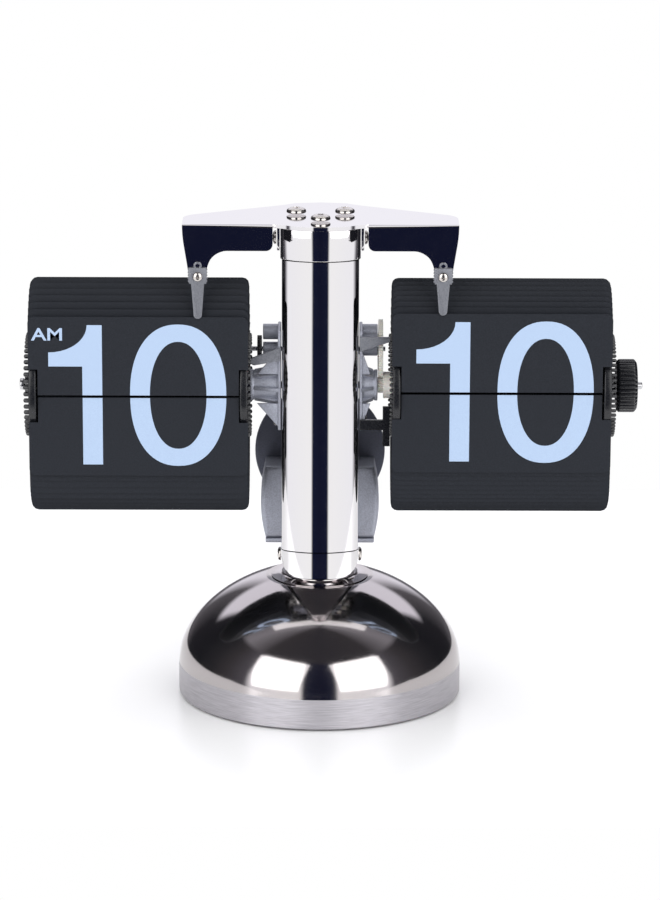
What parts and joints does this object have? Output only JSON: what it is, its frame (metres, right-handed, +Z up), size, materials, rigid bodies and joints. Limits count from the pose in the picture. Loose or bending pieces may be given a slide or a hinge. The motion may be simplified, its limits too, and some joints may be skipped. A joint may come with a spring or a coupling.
{
  "type": "flip number clock",
  "caption": "Free-standing flip number clock: hour and minute drums of number leaves on one axle either side of a polished column with a domed base and a top bar.",
  "frame": {"origin": "centre of the foot pad's underside, where the clock rests on a desk", "axes": "+X along the axle to the viewer's right (towards the setting knob), +Y to the back, +Z up; the numbers face -Y"},
  "size_m": [0.2065, 0.0946, 0.1651],
  "materials": {
    "polished_steel": "polished",
    "brushed_steel": "brushed",
    "screw_steel": "zinc plated",
    "spring_steel": "matt spring temper",
    "cast_iron": "as cast",
    "foot_rubber": "matt",
    "silver_plastic": "moulded, silver, fine texture",
    "grey_plastic": "moulded, fine texture",
    "white_acetal": "moulded, satin",
    "black_plastic": "moulded, gloss",
    "leaf_plastic": "screen-printed sheet, matt",
    "cell_jacket": "printed jacket, plain",
    "brass": "plated spring brass"
  },
  "bodies": {
    "frame": {"base_dome": "polished_steel", "neck_collar": "polished_steel", "column_foot": "polished_steel", "column_tube": "polished_steel", "column_cap": "polished_steel", "top_bar": "polished_steel", "base_plate": "brushed_steel", "main_axle": "brushed_steel", "motor_body": "brushed_steel", "base_bolt": "screw_steel", "base_nut": "screw_steel", "column_foot_screw_left": "screw_steel", "column_foot_screw_right": "screw_steel", "cap_screw_left": "screw_steel", "cap_screw_right": "screw_steel", "bar_screw_left": "screw_steel", "bar_screw_right": "screw_steel", "bar_screw_front": "screw_steel", "left_leaf_stop_screw": "screw_steel", "right_leaf_stop_screw": "screw_steel", "left_side_arm_screw": "screw_steel", "right_side_arm_screw": "screw_steel", "rear_cover_screw": "screw_steel", "left_leaf_stop": "spring_steel", "right_leaf_stop": "spring_steel", "left_lever": "spring_steel", "right_lever": "spring_steel", "base_weight": "cast_iron", "base_foot_pad": "foot_rubber", "left_side_arm": "silver_plastic", "right_side_arm": "silver_plastic", "movement_case": "silver_plastic", "battery_case": "silver_plastic", "rear_cover": "grey_plastic", "right_guard": "black_plastic", "hour_leaf_fallen": "leaf_plastic", "hour_leaves_standing": "leaf_plastic", "hour_leaves_over": "leaf_plastic", "hour_leaves_hanging": "leaf_plastic", "minute_leaf_fallen": "leaf_plastic", "minute_leaves_standing": "leaf_plastic", "minute_leaves_over": "leaf_plastic", "minute_leaves_hanging": "leaf_plastic", "battery_cell": "cell_jacket", "positive_contact": "brass", "negative_contact": "brass"},
    "minute_drum": {"minute_drum": "black_plastic", "minute_inner_disc": "black_plastic", "minute_pinion": "white_acetal", "setting_knob": "black_plastic"},
    "hour_drum": {"hour_drum": "black_plastic", "hour_inner_disc": "black_plastic", "hour_gear": "white_acetal"},
    "transfer_shaft": {"transfer_arbor": "brushed_steel", "transfer_wheel": "white_acetal", "transfer_collar": "black_plastic"},
    "motor_output": {"motor_wheel": "white_acetal"},
    "hour_leaf": {"hour_leaf_falling": "leaf_plastic"},
    "minute_leaf": {"minute_leaf_falling": "leaf_plastic"},
    "battery_door": {"battery_door": "silver_plastic"}
  },
  "joints": [
    {"name": "minute_drum_spin", "type": "hinge", "parent": "frame", "child": "minute_drum", "pos_m": [0.0597, 0, 0.1055], "axis": [1, 0, 0], "continuous": true},
    {"name": "hour_drum_spin", "type": "hinge", "parent": "frame", "child": "hour_drum", "pos_m": [-0.0597, 0, 0.1055], "axis": [1, 0, 0], "continuous": true},
    {"name": "transfer_spin", "type": "hinge", "parent": "frame", "child": "transfer_shaft", "pos_m": [0, 0.00343, 0.117], "axis": [1, 0, 0], "continuous": true},
    {"name": "motor_spin", "type": "hinge", "parent": "frame", "child": "motor_output", "pos_m": [0.0193, 0.01835, 0.11244], "axis": [1, 0, 0], "continuous": true},
    {"name": "hour_leaf_fall", "type": "hinge", "parent": "frame", "child": "hour_leaf", "pos_m": [-0.0597, -0.0165, 0.10597], "axis": [1, 0, 0], "range_deg": [0, 178]},
    {"name": "minute_leaf_fall", "type": "hinge", "parent": "frame", "child": "minute_leaf", "pos_m": [0.0597, -0.0165, 0.10733], "axis": [1, 0, 0], "range_deg": [0, 178]},
    {"name": "battery_door_slide", "type": "slide", "parent": "frame", "child": "battery_door", "axis": [0, 1, 0], "range_m": [0, 0.014]}
  ],
  "couplings": [
    {"joint": "hour_drum_spin", "follows": "minute_drum_spin", "ratio": 0.041667},
    {"joint": "transfer_spin", "follows": "minute_drum_spin", "ratio": -0.25},
    {"joint": "motor_spin", "follows": "minute_drum_spin", "ratio": 0.4}
  ]
}
